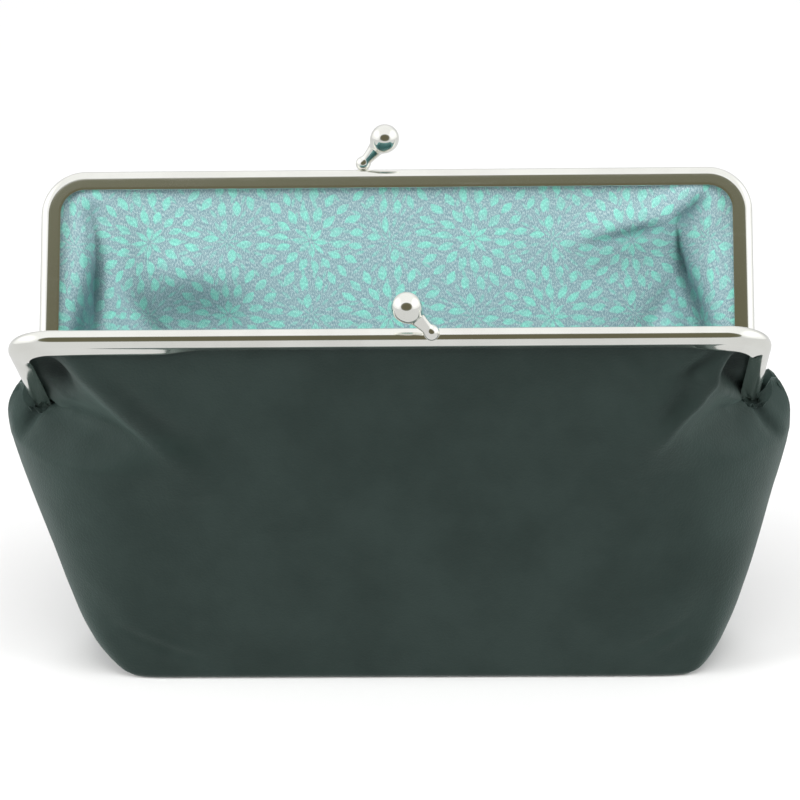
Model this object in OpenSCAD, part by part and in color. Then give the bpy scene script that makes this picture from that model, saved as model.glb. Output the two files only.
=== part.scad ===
// Cosmetic bag: a lined leather pouch held by two hinged metal frame halves with ball locks.
// X runs across the bag, -Y is its front and Z is up. It stands open on Z = 0.

/* [Frame halves] */
// Width across the two legs of a half
frame_w = 200; // [180:5:220]
// From the hinge line to the top edge of the bar
frame_h = 65; // [55:1:75]
// Outer radius of the top corners
corner_r = 12.5; // [10:0.5:18]
// Thickness of one half, front to back
channel_t = 5; // [4.8:0.1:6]
// Depth of the channel's side walls
channel_face = 5.7; // [5.2:0.1:7.5]
// Thickness of the sheet metal
metal_t = 0.8; // [0.6:0.05:0.9]
// Gap between the two halves when they are shut
shut_gap = 0.3; // [0.1:0.1:0.8]
// How far the front half leans forward when open, in degrees
front_lean = 54; // [40:1:60]
// How far the rear half leans back when open, in degrees
rear_lean = 30; // [20:1:45]

/* [Hinges] */
// Height of the hinge line above the table
hinge_z = 74; // [66:1:84]
// Diameter of the rivet's shank
rivet_d = 2.4; // [2:0.1:3]
// Gap round the shank in its holes
rivet_play = 0.05; // [0.02:0.01:0.1]
// Metal of an ear round its hole
ear_wall = 1.8; // [1.4:0.1:2.2]
// Gap between the two ears of a hinge
ear_gap = 0.2; // [0.1:0.05:0.3]
// How far the rivet's head stands out round the shank
rivet_rim = 1.1; // [0.8:0.1:1.4]
// Height of the rivet's domed head
rivet_head_h = 0.8; // [0.5:0.1:1.2]

/* [Ball locks] */
// Diameter of a lock ball
ball_d = 8; // [7:0.25:9]
// Gap between the two balls as they pass
ball_pass = 0.2; // [0.1:0.05:0.5]
// Height of the ball's centre above the bar
ball_rise = 8; // [7:0.25:10]
// How far the ball reaches towards the other half
ball_reach = 6; // [4:0.25:7]
// How far the foot stands to the side of the ball
ball_offset = 6.3; // [5:0.1:8]
// Diameter of the neck at its waist
neck_d = 2.8; // [2.2:0.1:3.4]
// Diameter of the neck where it meets the ball
collar_d = 4.4; // [4:0.1:5]
// Diameter of the neck where it meets the foot
root_d = 3.4; // [3:0.1:3.6]
// Diameter of the round foot
foot_d = 4.2; // [3.6:0.1:4.8]
// Height of the foot's centre above the bar
foot_rise = 1.2; // [0.8:0.1:1.6]
// Diameter of the tenon that holds the foot to the bar
tenon_d = 1.6; // [1.2:0.1:2]

/* [Pouch outside] */
// Width of the pouch at its base
base_w = 166; // [150:2:180]
// Depth of the base, front to back
base_d = 50; // [42:1:60]
// Width of the pouch at its widest
widest_w = 217; // [212:1:226]
// How far below the hinge line the pouch is widest
widest_drop = 9; // [6:1:14]
// Width of the pouch level with the hinge line
shoulder_w = 213; // [210:1:222]
// How far the front panel stands out at the hinge line
front_belly = 43; // [38:1:48]
// How far the rear panel stands out at the hinge line
rear_belly = 29.5; // [27:0.5:34]
// Rounding of the pouch's lower edge
base_round = 2.5; // [1.5:0.25:4]
// How far the open edge dips beside a hinge
hinge_dip = 6; // [4:0.5:8]

/* [Layers] */
// Thickness of the leather
leather_t = 1; // [0.8:0.05:1.1]
// Thickness of the interlining
interlining_t = 0.8; // [0.5:0.1:1.2]
// Thickness of the lining cloth
lining_t = 0.4; // [0.3:0.05:0.5]
// Thickness of the board in the base
board_t = 1.5; // [1:0.1:2.5]
// Corner radius of the board in the base
board_corner_r = 10; // [8:0.5:14]
// Diameter of the paper cord in the channel
cord_d = 1.5; // [1.2:0.05:1.6]
// Gap between two layers
ply_gap = 0.1; // [0.05:0.01:0.12]

/* [Hidden] */
$fn = 64;

// The metal's own sizes
over = 1;
half_w = frame_w / 2;
mid_n = (channel_t + shut_gap) / 2;
rim_r = channel_t / 2;
cavity_r = rim_r - metal_t;
ear_r = rivet_d / 2 + ear_wall;
leg_end = ear_r + 2 * shut_gap;
ear_top = leg_end + channel_face;
ear_edge = mid_n - cavity_r;
hole_r = rivet_d / 2 + rivet_play;
joggle_h = channel_face / 3;
inner_ear_x = half_w - 2 * metal_t - ear_gap;
tail_t = metal_t;
seat_gap = shut_gap / 10;
tenon_play = rivet_play;
tenon_head_t = metal_t / 2;
tenon_head_d = tenon_d + metal_t;
ball_x = (ball_d + ball_pass) / 2;
foot_x = ball_x + ball_offset;
neck_waist_share = 0.4;

// The edges of leather, lining and cord that the channel holds
tuck_x = inner_ear_x - ply_gap;
tuck_drop = half_w - tuck_x;
leather_n = mid_n + cavity_r - 2 * ply_gap;
lining_n = leather_n - leather_t - ply_gap;
cord_n = mid_n - cavity_r + ply_gap / 2 + cord_d / 2;
cord_drop = tuck_drop + cord_d / 2;
tuck_start = ear_top + ply_gap;
mouth_drop = channel_face + 2 * ply_gap;
mouth_share = (half_w - mouth_drop) / tuck_x;

// The layers of the pouch, measured in from its outside
interlining_in = leather_t + ply_gap;
lining_in = interlining_in + interlining_t + ply_gap;
board_z = leather_t + ply_gap;
lining_z = board_z + board_t + ply_gap;
wall_z = lining_z + lining_t;
split_gap = 3 * ply_gap;
panel_top = hinge_z - split_gap / 2;
widest_z = hinge_z - widest_drop;

// The pouch's outline, as exponents and shares of its own sizes
flare_share = 0.85;
base_square_share = 0.25;
top_flat_share = 1 / 3;
top_point_share = 2;
change_share = 0.6;
panel_columns = 24;
panel_row_shares = [0, 0.03, 0.14, 0.3, 0.46, 0.62, 0.76, 0.88, 1];
dip_start_share = 0.84;
dip_end_share = 0.92;
top_columns = 20;
top_row_shares = [0, 0.2, 0.4, 0.6, 0.78, 0.9, 1];
tuck_row_shares = [0.5, 0.97];
cheek_power = 6;

// Columns of a top piece, as shares of its half width: one on each channel's edge, and closer near it
top_shares = concat(
  [-1],
  [for (i = [0:top_columns]) mouth_share * sin(90 * (2 * i / top_columns - 1))],
  [1]
);

function ease(t) = let (c = min(max(t, 0), 1)) c * c * (3 - 2 * c);
function mix(a, b, t) = a + (b - a) * t;

// Half the pouch's width at height z
function half_width(z) =
  z < widest_z
    ? mix(base_w, widest_w, pow(max(z, 0) / widest_z, flare_share)) / 2
    : mix(widest_w, shoulder_w, pow((z - widest_z) / widest_drop, 2)) / 2;

// How far a panel stands out from the side seams at height z
function stand_out(z, belly) = mix(base_d / 2, belly, z / hinge_z);

// The lower edge is rounded, so the first row lies further in
function edge_in(z) =
  z < base_round
    ? base_round - sqrt(base_round * base_round - pow(base_round - z, 2))
    : 0;

// One point of a panel at angle a round the pouch and height z, d in from the outside
function panel_point(a, z, d, belly) =
  let (
    t = pow(min(z / hinge_z, 1), change_share),
    across = mix(base_square_share, top_flat_share, t),
    outwards = mix(base_square_share, top_point_share, t),
    inset = d + edge_in(z),
    x = (half_width(z) - inset) * sign(cos(a)) * pow(abs(cos(a)), across),
    y = (stand_out(z, belly) - inset) * pow(max(sin(a), 0), outwards)
  )
  [x, -ply_gap / 2 - y, z];

// The open edge dips beside the hinges
function edge_height(a) =
  let (share = pow(abs(cos(a)), top_flat_share))
  panel_top - hinge_dip * ease((share - dip_start_share) / (dip_end_share - dip_start_share));

function panel_rows(d, z_low, belly) = [
  for (v = panel_row_shares) [
    for (i = [0:panel_columns])
      let (a = 180 * i / panel_columns)
      panel_point(a, mix(z_low, edge_height(a), v), d, belly)
  ]
];

function joined(lists) = [for (l = lists) for (p = l) p];
function reversed(list) = [for (i = [len(list) - 1:-1:0]) list[i]];

// Joins an outer and an inner sheet of rows of points into one closed wall
module wall(outer, inner, closed_base) {
  rows = len(outer);
  columns = len(outer[0]);
  count = rows * columns;
  last_row = rows - 1;
  last = columns - 1;
  outer_faces = [
    for (r = [0:rows - 2]) for (c = [0:columns - 2])
      let (a = r * columns + c, b = a + 1, e = a + columns, f = e + 1)
      each [[a, e, f], [a, f, b]]
  ];
  inner_faces = [for (t = outer_faces) [t[0] + count, t[2] + count, t[1] + count]];
  side_faces = [
    for (r = [0:rows - 2])
      let (a = r * columns, b = a + columns, e = a + last, f = e + columns)
      each [
        [a, a + count, b + count], [a, b + count, b],
        [e, f, f + count], [e, f + count, e + count]
      ]
  ];
  top_faces = [
    for (c = [0:columns - 2])
      let (a = last_row * columns + c, b = a + 1)
      each [[a, a + count, b + count], [a, b + count, b]]
  ];
  open_faces = [
    for (c = [0:columns - 2])
      let (a = c, b = a + 1)
      each [[a, b, b + count], [a, b + count, a + count]]
  ];
  base_faces = [
    [for (c = [0:last]) c],
    [for (c = [last:-1:0]) c + count],
    [0, last, count + last], [0, count + last, count]
  ];
  faces = concat(outer_faces, inner_faces, side_faces, top_faces, closed_base ? base_faces : open_faces);
  polyhedron(joined(concat(outer, inner)), [for (f = faces) reversed(f)]);
}

// A panel of the pouch from depth d to depth d + t, with its half of the base
module panel(d, t, z, zt, belly) {
  wall(panel_rows(d, z, belly), panel_rows(d + t, z + zt, belly), true);
}

// A panel with no base
module side_panel(d, t, z, belly) {
  wall(panel_rows(d, z, belly), panel_rows(d + t, z, belly), false);
}

// A frame half's own space: hinge line on X, legs up Z, its outer side towards +Y
module place_rear() {
  translate([0, 0, hinge_z])
    rotate([-rear_lean, 0, 0])
      children();
}

module place_front() {
  translate([0, 0, hinge_z])
    rotate([front_lean, 0, 0])
      mirror([0, 1, 0])
        children();
}

// Cross-section of the channel: x from its rim inwards, y across its thickness
module channel_section() {
  difference() {
    union() {
      translate([rim_r, 0])
        circle(r = rim_r);
      translate([rim_r, -rim_r])
        square([channel_face - rim_r, channel_t]);
    }
    translate([rim_r, 0])
      circle(r = cavity_r);
    translate([rim_r, -cavity_r])
      square([channel_face - rim_r + over, 2 * cavity_r]);
  }
}

module channel_leg() {
  translate([half_w, mid_n, leg_end])
    mirror([1, 0, 0])
      linear_extrude(frame_h - corner_r - leg_end)
        channel_section();
}

module channel_corner() {
  translate([half_w - corner_r, mid_n, frame_h - corner_r])
    rotate([90, 0, 0])
      rotate_extrude(angle = 90)
        translate([corner_r, 0])
          mirror([1, 0])
            channel_section();
}

module channel_bar() {
  translate([corner_r - half_w, mid_n, frame_h])
    rotate([0, 90, 0])
      linear_extrude(frame_w - 2 * corner_r)
        channel_section();
}

// Outline of an ear, x across the half and y up the leg
module ear_outline() {
  difference() {
    union() {
      circle(r = ear_r);
      polygon([
        [0, 0], [0, ear_r], [ear_edge, leg_end], [ear_edge, ear_top],
        [ear_edge + 2 * cavity_r, ear_top], [ear_edge + 2 * cavity_r, leg_end], [ear_r, 0]
      ]);
    }
    circle(r = hole_r);
  }
}

module ear(x) {
  translate([x, 0, 0])
    rotate([90, 0, 90])
      linear_extrude(metal_t)
        ear_outline();
}

// The step that joins an inner ear to the rim of its channel
module joggle() {
  translate([inner_ear_x, mid_n - cavity_r / 2, ear_top - joggle_h])
    cube([metal_t + ear_gap + metal_t / 2, cavity_r, joggle_h]);
}

module tenon_hole(x) {
  translate([x, mid_n, frame_h - channel_face])
    cylinder(d = tenon_d + 2 * tenon_play, h = channel_face + over);
}

module frame_half(inner_ears, lock_x) {
  difference() {
    union() {
      channel_bar();
      for (side = [0, 1])
        mirror([side, 0, 0]) {
          channel_corner();
          channel_leg();
          ear(inner_ears ? inner_ear_x : half_w - metal_t);
          if (inner_ears)
            joggle();
        }
    }
    tenon_hole(lock_x);
  }
}

// Points Z along the line from one point to another
module along(from, to) {
  d = to - from;
  translate(from)
    rotate([0, acos(d[2] / norm(d)), atan2(d[1], d[0])])
      children();
}

// Ball, neck and foot in one, with the tenon that is spread inside the channel
module lock_ball() {
  foot = [foot_x, mid_n, frame_h + foot_rise];
  ball = [ball_x, mid_n - ball_reach, frame_h + ball_rise];
  reach = norm(ball - foot);
  waist = reach * neck_waist_share;
  translate(ball)
    sphere(d = ball_d);
  along(foot, ball) {
    cylinder(d1 = root_d, d2 = neck_d, h = waist);
    translate([0, 0, waist])
      cylinder(d1 = neck_d, d2 = collar_d, h = reach - waist);
  }
  difference() {
    translate(foot)
      sphere(d = foot_d);
    translate([0, mid_n, frame_h - rim_r])
      rotate([0, 90, 0])
        cylinder(r = rim_r + seat_gap, h = frame_w);
  }
  translate([foot_x, mid_n, frame_h - metal_t - tenon_head_t])
    cylinder(d = tenon_d, h = metal_t + tenon_head_t + foot_rise);
  translate([foot_x, mid_n, frame_h - metal_t - tenon_head_t - seat_gap])
    cylinder(d = tenon_head_d, h = tenon_head_t);
}

// Shank, domed head outside and spread tail inside
module hinge_rivet() {
  tail_x = inner_ear_x - seat_gap - tail_t;
  head_x = half_w + seat_gap;
  head_r = rivet_d / 2 + rivet_rim;
  dome_r = (head_r * head_r + rivet_head_h * rivet_head_h) / (2 * rivet_head_h);
  translate([0, 0, hinge_z])
    rotate([0, 90, 0]) {
      translate([0, 0, tail_x])
        cylinder(d = rivet_d, h = head_x - tail_x + rivet_head_h / 2);
      translate([0, 0, tail_x])
        cylinder(r = head_r, h = tail_t);
      intersection() {
        translate([0, 0, head_x])
          cylinder(r = head_r, h = rivet_head_h);
        translate([0, 0, head_x + rivet_head_h - dome_r])
          sphere(r = dome_r);
      }
    }
}

// The paper cord runs up one leg, along the bar and down the other leg
module packing_cord() {
  x = half_w - cord_drop;
  r = corner_r - cord_drop;
  z = frame_h - corner_r;
  for (side = [0, 1])
    mirror([side, 0, 0]) {
      translate([x, cord_n, tuck_start])
        cylinder(d = cord_d, h = z - tuck_start);
      translate([half_w - corner_r, cord_n, z])
        rotate([90, 0, 0])
          rotate_extrude(angle = 90)
            translate([r, 0])
              circle(d = cord_d);
    }
  translate([corner_r - half_w, cord_n, frame_h - cord_drop])
    rotate([0, 90, 0])
      cylinder(d = cord_d, h = frame_w - 2 * corner_r);
}

// Half the width of the tucked edge at distance s up the legs
function tuck_half(s) =
  let (
    r = corner_r - tuck_drop,
    up = min(max(s - (frame_h - corner_r), 0), r)
  )
  half_w - corner_r + sqrt(r * r - up * up);

// From a half's own space to the bag's, as [y, z] with y outwards
function opened(s, n, lean) = [s * sin(lean) + n * cos(lean), hinge_z + s * cos(lean) - n * sin(lean)];

// Rows of a top piece: tucked into the legs at its sides and hanging from the bar between them
function top_rows(n, d, belly, lean) =
  let (
    split_z = hinge_z + split_gap / 2,
    s_end = frame_h - mouth_drop,
    low = [belly - d, split_z],
    high = opened(s_end, n, lean),
    hung = [
      for (v = top_row_shares)
        let (
          s = mix(tuck_start, s_end, v),
          leg = opened(s, n, lean),
          middle = mix(low, high, v),
          half = tuck_half(s)
        )
        [
          for (share = top_shares)
            let (
              f = 1 - pow(min(abs(share) / mouth_share, 1), cheek_power),
              p = mix(leg, middle, f)
            )
            [-half * share, -p[0], max(p[1], split_z)]
        ]
    ],
    tucked = [
      for (v = tuck_row_shares)
        let (
          s = mix(s_end, frame_h - tuck_drop, v),
          p = opened(s, n, lean),
          half = tuck_half(s)
        )
        [
          for (share = top_shares)
            [-half * share, -p[0], p[1]]
        ]
    ]
  )
  concat(hung, tucked);

module top_piece(n, d, t, belly, lean) {
  wall(top_rows(n, d, belly, lean), top_rows(n - t, d + t, belly, lean), false);
}

module base_board() {
  half_x = base_w / 2 - base_round - leather_t - 2 * ply_gap;
  half_y = base_d / 2 - base_round - leather_t - 2 * ply_gap;
  color("tan")
    translate([0, 0, board_z])
      linear_extrude(board_t) {
        square([2 * half_x - 2 * board_corner_r, 2 * half_y], center = true);
        square([2 * half_x, 2 * half_y - 2 * board_corner_r], center = true);
        for (x = [-1, 1], y = [-1, 1])
          translate([x * (half_x - board_corner_r), y * (half_y - board_corner_r)])
            circle(r = board_corner_r);
      }
}

module front_frame() {
  color("silver")
    place_front()
      frame_half(true, foot_x);
}

module rear_frame() {
  color("silver")
    place_rear()
      frame_half(false, -foot_x);
}

module front_lock_ball() {
  color("gainsboro")
    place_front()
      lock_ball();
}

module rear_lock_ball() {
  color("gainsboro")
    place_rear()
      mirror([1, 0, 0])
        lock_ball();
}

module left_hinge_rivet() {
  color("lightgray")
    mirror([1, 0, 0])
      hinge_rivet();
}

module right_hinge_rivet() {
  color("lightgray")
    hinge_rivet();
}

module front_packing_cord() {
  color("burlywood")
    place_front()
      packing_cord();
}

module rear_packing_cord() {
  color("burlywood")
    place_rear()
      packing_cord();
}

module front_leather_panel() {
  color("darkslategray")
    panel(0, leather_t, 0, leather_t, front_belly);
}

module rear_leather_panel() {
  color("darkslategray")
    mirror([0, 1, 0])
      panel(0, leather_t, 0, leather_t, rear_belly);
}

module front_leather_top() {
  color("darkslategray")
    top_piece(leather_n, 0, leather_t, front_belly, front_lean);
}

module rear_leather_top() {
  color("darkslategray")
    mirror([0, 1, 0])
      top_piece(leather_n, 0, leather_t, rear_belly, rear_lean);
}

module front_interlining() {
  color("white")
    side_panel(interlining_in, interlining_t, wall_z, front_belly);
}

module rear_interlining() {
  color("white")
    mirror([0, 1, 0])
      side_panel(interlining_in, interlining_t, wall_z, rear_belly);
}

module front_lining_panel() {
  color("cadetblue")
    panel(lining_in, lining_t, lining_z, lining_t, front_belly);
}

module rear_lining_panel() {
  color("cadetblue")
    mirror([0, 1, 0])
      panel(lining_in, lining_t, lining_z, lining_t, rear_belly);
}

module front_lining_top() {
  color("cadetblue")
    top_piece(lining_n, lining_in, lining_t, front_belly, front_lean);
}

module rear_lining_top() {
  color("cadetblue")
    mirror([0, 1, 0])
      top_piece(lining_n, lining_in, lining_t, rear_belly, rear_lean);
}

front_frame();
rear_frame();
front_lock_ball();
rear_lock_ball();
left_hinge_rivet();
right_hinge_rivet();
front_packing_cord();
rear_packing_cord();
front_leather_panel();
rear_leather_panel();
front_leather_top();
rear_leather_top();
front_interlining();
rear_interlining();
front_lining_panel();
rear_lining_panel();
front_lining_top();
rear_lining_top();
base_board();
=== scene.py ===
"""Cosmetic bag: a leather pouch on a hinged metal purse frame, standing open.

Lengths are in metres. The bag stands on z = 0 and its front faces -y.
"""

import math
from functools import partial

import bmesh
import bpy
import numpy as np
from mathutils import Matrix, Vector


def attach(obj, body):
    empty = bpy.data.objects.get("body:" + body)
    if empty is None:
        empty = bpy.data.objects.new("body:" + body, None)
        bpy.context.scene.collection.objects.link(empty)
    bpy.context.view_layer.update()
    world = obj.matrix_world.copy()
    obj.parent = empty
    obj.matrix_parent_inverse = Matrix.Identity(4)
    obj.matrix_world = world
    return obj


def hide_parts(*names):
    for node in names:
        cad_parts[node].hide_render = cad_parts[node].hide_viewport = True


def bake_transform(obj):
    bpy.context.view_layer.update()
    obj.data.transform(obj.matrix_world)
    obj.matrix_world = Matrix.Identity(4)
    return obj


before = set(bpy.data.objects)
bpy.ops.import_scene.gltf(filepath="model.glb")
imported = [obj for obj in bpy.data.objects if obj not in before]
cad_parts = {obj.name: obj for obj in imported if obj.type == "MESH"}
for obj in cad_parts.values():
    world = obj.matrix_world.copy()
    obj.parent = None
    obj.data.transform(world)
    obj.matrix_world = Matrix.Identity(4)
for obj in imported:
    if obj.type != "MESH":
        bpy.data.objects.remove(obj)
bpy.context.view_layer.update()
bpy.ops.object.select_all(action="DESELECT")

MM = 0.001
FRONT = -1
REAR = 1
SIDES = (("front", FRONT), ("rear", REAR))
TINY = 1e-6

# Sizes of the frame halves, as in the model
FRAME_W = 200 * MM
FRAME_H = 65 * MM
CORNER_R = 12.5 * MM
CHANNEL_FACE = 5.7 * MM
METAL_T = 0.8 * MM
RIM_R = 2.5 * MM
MID_N = 2.65 * MM
LEG_END = 3.6 * MM
EAR_R = 3 * MM
EAR_TOP = 9.3 * MM
INNER_EAR_X = 98.2 * MM
HINGE_Z = 74 * MM
LEAN = {FRONT: math.radians(54), REAR: math.radians(30)}
HALF_W = FRAME_W / 2
BROKEN_EDGE = 0.16 * MM

# How many steps the frame's wall is drawn in
SECTION_POINTS = 48
LEG_STEPS = 12
CORNER_STEPS = 20
BAR_STEPS = 60
LIP_STEPS = 4

# How many points a turned piece has round it
TURNED_POINTS = 32
BALL_POINTS = 40

# The bar's outer lip is turned out near the corners and pressed in between them, in degrees. It
# changes at a distance from a point a little to the right of the middle.
LIP_OPEN = 14.0
LIP_PRESSED = -5.0
LIP_MIDDLE_X = 14 * MM
LIP_CHANGE = 62 * MM
LIP_CHANGE_W = 12 * MM

# Sizes of the lock balls: the ball, the foot and the neck between them, which widens to the ball
BALL_R = 4 * MM
FOOT_R = 2.1 * MM
NECK_R = 1.35 * MM
NECK_WIDE = 2.5 * MM
FILLET = 0.6 * MM
BALL_X = 4.1 * MM
BALL_N = -2.3 * MM
BALL_S = 72.8 * MM
FOOT_X = 10.4 * MM
FOOT_S = 66.8 * MM
LOCK_SHIFT = 1.2 * MM
LOCK_STEPS = 64

# Sizes of the hinge rivets
RIVET_R = 1.2 * MM
RIVET_HEAD_R = 2.3 * MM
RIVET_HEAD_T = 0.8 * MM
RIVET_PROUD = 0.85 * MM
RIVET_EDGE = 0.15 * MM
RIVET_STEP = 0.05 * MM
DOME_STEPS = 10

# Sizes of the pouch, as in the model
BASE_HALF = {FRONT: 26.4 * MM, REAR: 25 * MM}
BELLY = {FRONT: 43 * MM, REAR: 29.5 * MM}
BASE_ROUND = 1.5 * MM
TUCK_X = 98.1 * MM
TUCK_START = 9.4 * MM
MOUTH_DROP = 5.9 * MM
LEATHER_T = 1.0 * MM
LINING_T = 0.4 * MM
INNER_T = 0.7 * MM
BOARD_LOW = 1.75 * MM
BOARD_T = 1.5 * MM
BOARD_W = 152 * MM
BOARD_D = 45 * MM
BOARD_EDGE = 0.3 * MM

# How far outwards each layer is tucked into the channel, how much smaller the inner ones are and
# how high they lie
LEATHER_N = 4.15 * MM
LINING_N = 3.05 * MM
LINING_INSET = 2.0 * MM
LINING_LOW = 3.3 * MM
INNER_N = 3.0 * MM
INNER_INSET = 1.15 * MM
INNER_TOP = 62 * MM

# How finely the sheets are drawn: points on a line, columns to each side and rows to a millimetre
FINE = 900
SHEET_COLUMNS = 91
SHEET_ROWS = 1.2
INNER_COLUMNS = 61
INNER_ROWS = 0.6

# The lines that a sheet is drawn through: shares of the base's depth, heights on the body, and
# distances up the legs, both in millimetres
BASE_SHARES = (0, 0.35, 0.7, 1)
BODY_HEIGHTS = (0.35, 1.1, 2.5, 6, 12, 22, 34, 46, 56, 62, 66)
LEG_DISTANCES = (9.4, 14, 20, 27, 35, 43, 50, 55, 58, 59.1, 61.5, 63.2)

# The share of the half width at which the sheet turns away from the legs, at distances up them,
# in millimetres
RIDGES = {
    FRONT: {
        -1: [[9.4, 0.60], [22, 0.70], [40, 0.78], [59, 0.85]],
        1: [[9.4, 0.76], [22, 0.80], [40, 0.84], [59, 0.89]],
    },
    REAR: {side: [[9.4, 0.70], [22, 0.76], [40, 0.80], [59, 0.86]] for side in (-1, 1)},
}
# Half the width of the pouch at its side seams, and how far it has moved to the right, at
# heights, all in millimetres
SIDE_LINE = [
    [0, 78.6], [1, 81.4], [2.5, 83.7], [5, 86.4], [8, 88.8], [12, 91.3], [21, 95.4], [30, 98.6],
    [45, 103.4], [58, 107.2], [63, 108.3], [66.5, 108.7], [70, 108.6], [74, 107.5],
]
BASE_SHIFT = [[0, 3.8], [8, 2.8], [20, 2.3], [32, 2.0], [45, 1.3], [64, 0.8], [74, 0.4]]
# How far a sheet goes round the hinge, under its leg, in degrees, and how sharply its corners turn
UNDER_LEG = 44
CORNER_SHARPNESS = 9.0

# Folds of the sheets as seen from the front: the line's places across and up in millimetres, then
# half the fold's width and its height outwards, or inwards where it is below zero
LEATHER_FOLDS = {FRONT: [
    ([(-83, 103), (-80.8, 98.5), (-75, 91.5), (-71.4, 87.2), (-63.7, 78.8), (-53, 69)], 3.3, 2.1),
    ([(-72, 88), (-60, 73), (-50, 58)], 9.0, 1.6),
    ([(-74, 95.5), (-64, 84.5), (-53.5, 76)], 3.4, -0.9),
    ([(-91.5, 101), (-89.2, 95), (-87.5, 90), (-89.5, 85)], 3.8, -3.8),
    ([(-82, 95), (-84.5, 90.4), (-89.7, 82), (-94.9, 74.1), (-99, 69)], 3.0, 1.5),
    ([(-92, 78.5), (-96.9, 75.2), (-100, 72), (-103.5, 67)], 1.6, -2.0),
    ([(-102, 77), (-105, 71.5), (-105.5, 65)], 2.2, 0.9),
    ([(89.5, 104), (85.4, 97.3), (83.7, 93.7), (81, 88.6), (75.9, 83.1), (71, 75)], 1.7, 2.0),
    ([(80, 92), (70, 76), (62, 62)], 8.0, 1.4),
    ([(77, 95), (80, 98.5), (86.5, 104)], 1.8, -1.3),
    ([(80, 98), (76.5, 89), (72, 82)], 2.4, -1.1),
    ([(93, 102), (90.8, 96), (90.3, 91), (92.5, 85)], 3.0, -3.6),
    ([(84.5, 96), (86.4, 91.9), (90.7, 84), (96, 73.8), (100.5, 69)], 2.6, 1.6),
    ([(88, 94), (92.9, 85), (99.1, 74), (106, 65)], 1.5, -2.0),
    ([(60, 103), (68, 92), (66, 80)], 2.8, 0.7),
    ([(-77.6, 16.6), (-66, 11), (-51.9, 5.6)], 1.2, -0.3),
    ([(-72, 17), (-62, 12), (-56, 9)], 1.0, 0.25),
    ([(64, 8), (72, 13), (81, 18.5)], 1.6, -0.45),
    ([(70, 8), (76, 12), (80, 14)], 1.4, 0.35),
    ([(-88, 28), (-80, 18), (-74, 4)], 5.0, -0.8),
    ([(88, 30), (82, 18), (79, 4)], 5.0, -0.8),
], REAR: [
    ([(-84.5, 108), (-76, 92), (-66, 79), (-58, 68)], 3.2, 1.4),
    ([(84.5, 108), (77, 93), (69, 80), (60, 70)], 3.0, 1.4),
    ([(-84, 114), (-86, 98), (-88.5, 80)], 3.2, 1.3),
    ([(86, 117), (88, 100), (88, 82)], 3.2, 1.3),
]}
LINING_FOLDS = {FRONT: [
    ([(-80, 92), (-74, 70), (-66, 40)], 4.0, -1.2),
    ([(80, 92), (74, 70), (66, 40)], 4.0, -1.2),
    ([(-91, 98), (-91, 86), (-99, 72)], 7.0, -3.4),
    ([(91, 98), (92, 86), (100, 72)], 7.0, -3.4),
    ([(93, 106), (90.5, 97), (91, 88)], 5.0, -2.4),
    ([(-93, 106), (-89.5, 97), (-89, 87)], 5.0, -1.6),
], REAR: [
    ([(-86, 124), (-85.5, 106), (-86, 92), (-88, 76)], 7.0, -5.0),
    ([(-86, 118), (-85.6, 107), (-85.6, 98), (-86, 86), (-88, 62)], 1.8, 3.4),
    ([(-87.6, 101), (-88.6, 95), (-90.2, 86), (-93, 66)], 1.8, 1.6),
    ([(88, 124), (80, 112), (84, 97), (91, 80)], 7.5, -4.4),
    ([(79, 116), (80.2, 107), (83, 98), (86, 91), (92, 74)], 2.0, 3.8),
    ([(87.5, 122), (82.3, 118), (78, 114.6)], 1.7, 1.8),
    ([(84, 116), (70, 112.5), (48, 107)], 7.0, -3.0),
    ([(78, 115), (71.6, 112.9), (64.5, 110.9), (54, 108)], 1.8, 1.8),
    ([(-74, 98), (-58, 101), (-42, 97)], 6.0, -1.8),
    ([(-66, 84), (-54, 86), (-42, 84)], 6.5, 0.9),
]}
# Painted shade in the deepest creases and hollows: the line, half the width and how dark the painted shade
# is
LEATHER_SHADE_LINES = {FRONT: [
    ([(-92, 104), (-89.8, 97), (-87.6, 91.5), (-89, 87)], 4.4, 0.95),
    ([(-92, 78.5), (-96.9, 75.2), (-100, 72), (-103, 67.5)], 1.5, 0.75),
    ([(-75, 96), (-64, 84.5), (-53.5, 76)], 3.6, 0.35),
    ([(93, 104), (90.2, 97), (89.3, 92), (92, 87)], 4.2, 0.95),
    ([(87, 95), (92.9, 84.6), (99.1, 73.8), (107, 64)], 1.3, 0.9),
    ([(75, 95.5), (80, 98.5), (87, 104)], 1.6, 0.5),
    ([(79.5, 97), (75.5, 89), (71, 81)], 2.5, 0.35),
], REAR: []}
# Painted shade in the lining's deepest creases
LINING_SHADE_LINES = {FRONT: [], REAR: [
    ([(-86.2, 124), (-86, 115)], 3.4, 0.45),
    ([(-85.9, 114), (-85.4, 104), (-85.6, 96), (-86.4, 86), (-88, 62)], 2.8, 0.98),
    ([(-87, 102), (-88.4, 93), (-90.2, 84), (-92.5, 64)], 3.1, 0.97),
    ([(79, 116), (80.2, 107), (83, 98), (86, 91), (93, 70)], 3.6, 0.94),
    ([(77, 100), (80.5, 90), (85, 70)], 5.0, 0.4),
    ([(88, 123), (82.3, 118), (78.2, 114.8)], 2.7, 0.85),
    ([(79.5, 115.2), (71.6, 112.9), (64.5, 110.9), (52, 107.6)], 2.6, 0.75),
    ([(-74, 91), (-58, 92), (-42, 88)], 7.5, 0.5),
]}

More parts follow.
